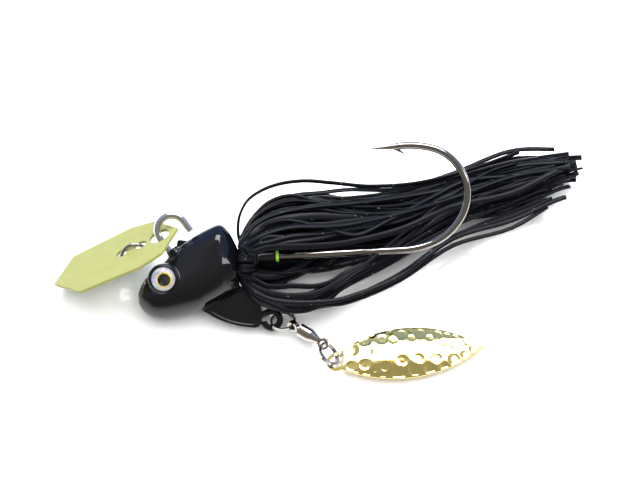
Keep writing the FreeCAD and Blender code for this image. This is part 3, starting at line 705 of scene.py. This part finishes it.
def pick_controls(p_wanted, rising):
    """Controls of a strand at a wanted place up the side, that keeps clear of openings and shank."""
    best = None
    for _ in range(TRIES):
        p = p_wanted + rng.uniform(-0.05, 0.05)
        room = math.sqrt(max(0.02, 1 - p * p))
        q = rng.uniform(-1.0, 1.0) * room
        wander = rng.uniform(0.15, 0.85)
        turn = rng.uniform(0, 2 * math.pi)
        goal = math.sqrt(rng.uniform(0.0, 1.0))
        onset, span = (rng.uniform(4.6, 7.4), rng.uniform(3.6, 5.0)) if rising else (5.0, 7.0)
        home = 0.5 * p + 0.10 if rising else p
        tip = (home * (1 - wander) + wander * goal * math.cos(turn),
               q * (1 - wander) + wander * goal * math.sin(turn))
        start_angle = math.atan2(q, p) + rng.uniform(-0.5, 0.5)
        controls = strand_controls(start_angle, (p, q), tip, onset, span)
        sway = rng.uniform(-0.5, 0.5)
        for i in range(5, len(controls)):
            loose = 0.35 + 0.2 * max(0, i - 8)
            sideways = sway * math.sin(0.9 * i) + rng.uniform(-loose, loose)
            controls[i] += Vector((0, sideways, rng.uniform(-0.3, 0.3)))
        path = catmull(controls, 5)
        if clear_of_shank(path):
            if clear_of_openings(path, 0.55):
                return controls
            best = best or controls
    return best


def make_skirt(rubber):
    """Every strand of the skirt: the long ones, the loose ones and the loops at the collar."""
    strands = []
    # (place up the side, whether it rises across the others): those below the shank, and the
    # upper mass
    wanted = [(-0.99 + 0.30 * k / 17, k % 3 != 0 and k > 3) for k in range(18)]
    wanted += [(-0.68 + 0.60 * k / 17, True) for k in range(18)]
    wanted += [(-0.10 + 1.08 * k / 67, False) for k in range(68)]
    for p_wanted, rising in wanted:
        controls = pick_controls(p_wanted, rising)
        if controls is None:
            continue
        width = rng.uniform(1.4, 1.75) if rng.random() < 0.24 else rng.uniform(0.9, 1.25)
        strands.append(make_strand(len(strands), rubber, controls, width, rng.uniform(0.5, 0.62),
                                   rng.uniform(68.0, 80.0)))
    for route in LOOSE_STRANDS:
        controls = [out_of_roll(x, y, z) for x, y, z in route]
        strands.append(make_strand(len(strands), rubber, controls, 0.95, 0.55, UNCUT))
    # short loops of the strands' folded front ends, packed round the band
    for k in range(COLLAR_LOOPS):
        angle = 2 * math.pi * (k + rng.uniform(-0.3, 0.3)) / COLLAR_LOOPS
        twist = rng.uniform(-0.12, 0.12)
        lift = rng.uniform(-0.25, 0.25)
        controls = []
        for x, reach in COLLAR_ROUTE:
            turn = angle + twist * (reach - COLLAR_START)
            out = reach + lift
            controls.append(ROLLED @ Vector((x + lift, out * math.cos(turn), out * math.sin(turn))))
        strands.append(make_strand(len(strands), rubber, controls, rng.uniform(1.0, 1.4), 0.6, UNCUT))
    return strands


# --- hammered willow blade ----------------------------------------------------------------------
WILLOW_LENGTH = 30.3
WILLOW_HALF = 5.45
WILLOW_EDGE_TILT = 0.34                    # slope of the leaf's long edges
WILLOW_YAW = 7.5                           # degrees
WILLOW_DIP = 1.2
WILLOW_DOME = 1.9
WILLOW_THICK = 0.42
WILLOW_LIFT = 0.15
WILLOW_END = 1.9                           # from the round end to the hole's centre
WILLOW_END_RADIUS = 1.95
WILLOW_HOLE = 1.3                          # radius
WILLOW_HOLE_AT = Vector((3.984, -20.009, 1.190))    # row frame
WILLOW_ALONG = 280                         # faces along the leaf
WILLOW_ACROSS = 104                        # and across it
EDGE_FADE = 0.45                           # the hammer marks fade out this near the edge
EDGE_ROLL = 0.10                           # drop of the rounded edge
EDGE_ROLL_WIDTH = 0.12
# hammer marks: (along from the round end, across, radius), as placed on a leaf DENTS_FOR_HALF wide
DENTS = (
    (2.5, 1.5, 0.75), (5.0, 1.84, 1.35), (7.8, 3.4, 1.15), (11.0, 3.35, 1.2), (13.15, 2.8, 0.9),
    (14.9, 3.95, 1.2), (16.7, 2.85, 0.78), (18.4, 3.75, 1.25), (20.1, 2.5, 0.8), (21.7, 3.2, 1.0),
    (22.9, 1.2, 0.88), (25.05, 0.65, 1.3), (27.1, 1.1, 0.8), (28.0, -0.5, 0.65), (26.3, -1.8, 0.8),
    (24.2, -2.7, 1.2), (20.8, -2.25, 1.1), (17.4, -2.05, 1.1), (14.2, -2.1, 1.2), (22.1, -4.1, 0.85),
    (19.3, -4.4, 1.2), (16.4, -4.25, 1.35), (13.3, -4.8, 1.5), (10.2, -5.0, 0.9), (10.75, -3.0, 0.95),
    (8.9, -3.2, 0.7), (7.1, -4.2, 0.95), (7.1, -1.85, 1.15), (4.5, -1.7, 1.05), (7.8, 0.85, 1.2),
    (10.75, 0.1, 1.05), (13.6, 0.45, 0.95), (16.2, 0.35, 0.95), (18.8, 0.35, 0.95), (21.2, -0.1, 1.05),
    (5.1, -3.3, 0.7), (9.3, 4.6, 0.55), (12.9, 4.9, 0.6), (16.6, 4.8, 0.6), (23.4, 2.9, 0.7),
    (25.0, 2.4, 0.6),
)
DENTS_FOR_HALF = 5.8                       # half width
DENT_DEPTH = 0.075                         # depth of a dent per millimetre of its radius
# the raised rim round a dent, in shares of the dent's radius and depth
RIM_FROM = 0.86
RIM_TO = 1.25
RIM_WIDTH = 0.39
RIM_START = 0.453
RIM_HEIGHT = 0.10


def willow_half(x):
    """Half width of the leaf: two equal arcs, widened round the hole."""
    middle = WILLOW_LENGTH / 2
    radius = (middle ** 2 + WILLOW_HALF ** 2) / (2 * WILLOW_HALF)
    arc = math.sqrt(max(0.0, radius ** 2 - (x - middle) ** 2)) - (radius - WILLOW_HALF)
    end = math.sqrt(max(0.0, WILLOW_END_RADIUS ** 2 - (x - WILLOW_END) ** 2))
    return max(arc, end, 0.02)


def dent_depth(x, y):
    """Depth of the hammer marks at a place on the leaf; raised rims count as negative depth."""
    depth = 0.0
    for cx, cy, radius in DENTS:
        share = math.hypot(x - cx, y - cy * WILLOW_HALF / DENTS_FOR_HALF) / radius
        if share < RIM_TO:
            bowl = 1 - share ** 4
            if share > RIM_FROM:
                bowl = (RIM_START * (RIM_TO - share) / RIM_WIDTH
                        - RIM_HEIGHT * math.sin(math.pi * (share - RIM_FROM) / RIM_WIDTH))
            dent = DENT_DEPTH * radius * bowl
            depth = max(depth, dent) if bowl > 0 else depth + dent * 0.5
    return depth


def make_willow(metal):
    """Domed, hammered leaf with a rounded edge and a hole for the ring."""
    along, across = WILLOW_ALONG, WILLOW_ACROSS
    middle = WILLOW_LENGTH / 2
    long_radius = (middle ** 2 + WILLOW_DOME ** 2) / (2 * WILLOW_DOME)
    cross_radius = WILLOW_HALF / WILLOW_EDGE_TILT
    left = WILLOW_END - WILLOW_END_RADIUS
    points, faces = [], []
    for layer in (0, 1):
        for i in range(along + 1):
            x = left + (WILLOW_LENGTH - left) * (1 - math.cos(math.pi * i / along)) / 2
            half = willow_half(x)
            for j in range(across + 1):
                w = math.sin(math.pi / 2 * (2 * j / across - 1))
                y = half * w
                dome = WILLOW_DOME - (x - middle) ** 2 / (2 * long_radius) - y * y / (2 * cross_radius)
                edge = smooth_step((half - abs(y)) / EDGE_FADE)
                rolled = EDGE_ROLL * (1 - min(1.0, (half - abs(y)) / EDGE_ROLL_WIDTH)) ** 2
                top = dome - dent_depth(x, y) * edge + WILLOW_LIFT
                height = top - rolled if layer == 0 else top - WILLOW_THICK + rolled
                points.append(Vector((x - WILLOW_END, y, height)))
    row = across + 1
    top_count = (along + 1) * row
    for i in range(along):
        for j in range(across):
            a = i * row + j
            faces.append((a, a + row, a + row + 1, a + 1))
            b = top_count + a
            faces.append((b, b + 1, b + row + 1, b + row))
        for j in (0, across):
            a = i * row + j
            faces.append((a, a + row, top_count + a + row, top_count + a))
    for i in (0, along):
        for j in range(across):
            a = i * row + j
            faces.append((a, a + 1, top_count + a + 1, top_count + a))
    place = (Matrix.Translation(WILLOW_HOLE_AT) @ Matrix.Rotation(math.radians(WILLOW_YAW), 4, "Z")
             @ Matrix.Rotation(math.radians(WILLOW_DIP), 4, "Y"))
    leaf = new_mesh("willow_leaf", points, faces, metal, at=place)
    hole = lathe(((-4.0, WILLOW_HOLE), (4.0, WILLOW_HOLE)), 72)
    upright = place @ Matrix.Rotation(math.pi / 2, 4, "Y")
    boolean(leaf, new_mesh("hole", *loft(hole), None, at=upright), "DIFFERENCE")
    return leaf


# --- vibrating plate ----------------------------------------------------------------------------
# lure frame: middle of the large hole, direction along the plate, direction out of its face
BLADE_AT = Vector((-15.700, 4.860, -0.433))
BLADE_LONG = Vector((-0.9274, -0.3622, -0.0935))
BLADE_FACE = Vector((-0.3596, 0.7943, 0.4898))
BLADE_HALF = ((-3.9, 0.0), (0.2, 6.3), (5.1, 7.8), (17.6, 6.9), (22.4, 0.0))    # (along, half width)
BLADE_SHEET = 0.64                         # thickness
BLADE_HOLES = ((0.0, 2.0), (4.0, 1.15), (8.0, 1.15))    # (along, radius)
BLADE_BROKEN_EDGE = 0.10


def make_blade(paint):
    """Stamped plate with softly broken edges and three punched holes."""
    across = BLADE_FACE.cross(BLADE_LONG)
    turn = Matrix((BLADE_LONG, across, BLADE_FACE)).transposed().to_4x4()
    place = LYING @ Matrix.Translation(BLADE_AT) @ turn
    corners = list(BLADE_HALF) + [(x, -half) for x, half in reversed(BLADE_HALF[1:-1])]
    prism = plate(corners, -BLADE_SHEET / 2, BLADE_SHEET / 2)
    sheet = new_mesh("chatter_plate", *prism, paint, smooth=False, at=place)
    for x, radius in BLADE_HOLES:
        drilled = lathe(((-3.0, radius), (3.0, radius)), 48)
        upright = place @ Matrix.Translation((x, 0, 0)) @ Matrix.Rotation(math.pi / 2, 4, "Y")
        boolean(sheet, new_mesh("hole", *loft(drilled), None, at=upright), "DIFFERENCE")
    soften = sheet.modifiers.new("soften", "BEVEL")
    soften.width = BLADE_BROKEN_EDGE * MM
    soften.segments = 3
    soften.limit_method = "ANGLE"
    soften.angle_limit = math.radians(25)
    apply_modifiers(sheet)
    sheet.data.polygons.foreach_set("use_smooth", [False] * len(sheet.data.polygons))
    return sheet


# --- scene --------------------------------------------------------------------------------------
# colours from the horizon up, by the sine of the height
BACK_SKY = (
    (0.0, (0.55, 0.66, 0.86)), (0.07, (0.30, 0.44, 0.82)), (0.16, (0.22, 0.38, 0.82)),
    (0.50, (0.25, 0.40, 0.84)), (0.66, (0.40, 0.50, 0.72)), (0.90, (0.60, 0.60, 0.60)),
    (0.975, (0.36, 0.355, 0.33)),
)
FRONT_SKY = (
    (0.0, (0.60, 0.60, 0.58)), (0.08, (0.36, 0.35, 0.31)), (0.30, (0.22, 0.205, 0.175)),
    (0.75, (0.30, 0.285, 0.25)), (0.975, (0.36, 0.355, 0.33)),
)
SKY_BLEND = 0.25                           # the two skies blend over this much either side of Y = 0
# (name, place in metres, width, depth, watts)
KEY_LIGHTS = (("key", (0.08, 0.40, 0.70), 0.62, 0.41, 8.6),
              ("side", (0.80, 0.10, 0.50), 0.16, 0.30, 1.2))
# big soft light that only lifts the shadows
FILL_AT = (0.0, -0.10, 0.95)
FILL_SIZE = 1.5
FILL_WATTS = 21.5


def make_floor():
    white = material("table_white", Base_Color=(0.93, 0.93, 0.93, 1), Roughness=0.12)
    bpy.ops.mesh.primitive_plane_add(size=4.0, location=(0, 0, 0))
    floor = bpy.context.object
    floor.name = "table_top"
    floor.data.materials.append(white)


def make_sky():
    """A pale tent overhead, a cool strip low at the back, a dim room in front."""
    world = bpy.data.worlds.new("studio")
    bpy.context.scene.world = world
    world.use_nodes = True
    where = node(world, "ShaderNodeTexCoord")
    split = node(world, "ShaderNodeSeparateXYZ")
    link(world, where, "Generated", split, "Vector")
    back = ramp(world, BACK_SKY)
    front = ramp(world, FRONT_SKY)
    link(world, split, "Z", back, "Fac")
    link(world, split, "Z", front, "Fac")
    sides = node(world, "ShaderNodeMapRange", interpolation_type="SMOOTHSTEP")
    sides.inputs["From Min"].default_value = -SKY_BLEND
    sides.inputs["From Max"].default_value = SKY_BLEND
    link(world, split, "Y", sides, "Value")
    mixed = node(world, "ShaderNodeMix", data_type="RGBA")
    link(world, sides, "Result", mixed, "Factor")
    link(world, front, "Color", mixed, "A")
    link(world, back, "Color", mixed, "B")
    background = world.node_tree.nodes["Background"]
    link(world, mixed, "Result", background, "Color")
    background.inputs["Strength"].default_value = 1.0


def area_light(name, place, width, watts):
    lamp = bpy.data.lights.new(name, "AREA")
    lamp.energy = watts
    lamp.size = width
    light = bpy.data.objects.new(name, lamp)
    bpy.context.scene.collection.objects.link(light)
    light.location = place
    return light


def make_lights():
    """Soft studio lights over the table."""
    for name, place, width, depth, watts in KEY_LIGHTS:
        light = area_light(name, place, width, watts)
        light.data.shape = "RECTANGLE"
        light.data.size_y = depth
        light.rotation_euler = (-Vector(place)).to_track_quat("-Z", "Y").to_euler()
    fill = area_light("fill", FILL_AT, FILL_SIZE, FILL_WATTS)
    fill.visible_glossy = False


CAMERA_AWAY = 0.95                         # metres from the lure to the camera
CAMERA_TARGET = Vector((0.0008, 0.00285, 0.0085))
LENS_PER_METRE = (82.0, 0.28)              # a lens of so many mm at so many metres frames the lure


def make_camera():
    """Looks squarely at the lure's left side."""
    lens = bpy.data.cameras.new("camera")
    lens.lens = LENS_PER_METRE[0] * CAMERA_AWAY / LENS_PER_METRE[1]
    lens.sensor_width = 36.0
    lens.clip_start = 0.01
    camera = bpy.data.objects.new("camera", lens)
    bpy.context.scene.collection.objects.link(camera)
    camera.location = CAMERA_TARGET + Vector((0, -ROLL_SIN, ROLL_COS)) * CAMERA_AWAY
    camera.rotation_euler = (LURE_ROLL, 0, 0)
    bpy.context.scene.camera = camera


def paint_node(name, made):
    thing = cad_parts[name]
    thing.data.materials.clear()
    thing.data.materials.append(made)


PAINT = head_paint()
HOOK = hook_nickel()
STEEL = plain_steel("ring_steel", (0.36, 0.34, 0.32), 0.12, 0.22)
NICKEL = plain_steel("swivel_nickel", (0.46, 0.42, 0.38), 0.12, 0.20)
BALLS = plain_steel("bearing_steel", (0.55, 0.55, 0.56), 0.1, 0.15)
CHARTREUSE = blade_paint()
SKIRT_RUBBER = skirt_silicone()
BAND = tinted("band_rubber", (0.005, 0.005, 0.006), (0.009, 0.009, 0.010), 0.18, 0.28)
SLEEVE = tinted("sleeve_rubber", (0.006, 0.006, 0.006), (0.012, 0.012, 0.012), 0.26, 0.38)
LIME = tinted("bead_lime", (0.30, 0.66, 0.05), (0.38, 0.74, 0.08), 0.28, 0.40)
GOLD = spinner_gold()
RESIN = material("eye_resin", Base_Color=(1, 1, 1, 1), Transmission_Weight=1.0, IOR=1.35)
rough_noise(RESIN, 400, 0.0, 0.035)

PAINTED = (
    ("hook", HOOK), ("keel_eyelet", PAINT), ("skirt_band", BAND), ("keeper_sleeve", SLEEVE),
    ("keeper_bead", LIME), ("vibrating_blade", CHARTREUSE), ("line_tie_ring", STEEL),
    ("upper_split_ring", STEEL), ("lower_split_ring", STEEL), ("swivel_post", NICKEL),
    ("swivel_body", NICKEL), ("swivel_cap", NICKEL), ("swivel_balls", BALLS),
)
for node_name, paint in PAINTED:
    paint_node(node_name, paint)
for side_name, side in (("left", 1), ("right", -1)):
    paint_node(side_name + "_eye_foil", eye_foil(side))
    paint_node(side_name + "_eye_dome", RESIN)

willow = make_willow(GOLD)
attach(willow, "spinner")
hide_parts("willow_blade")
sheet = make_blade(CHARTREUSE)
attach(sheet, "chatter_blade")
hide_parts("vibrating_blade")
head = make_head(PAINT)
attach(head, "lure_body")
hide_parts("head_casting")

for strand in make_skirt(SKIRT_RUBBER):
    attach(strand, "lure_body")
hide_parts("skirt_tab_upper", "skirt_tab_lower")

make_floor()
make_sky()
make_lights()
make_camera()
bpy.context.scene.view_settings.view_transform = "Standard"
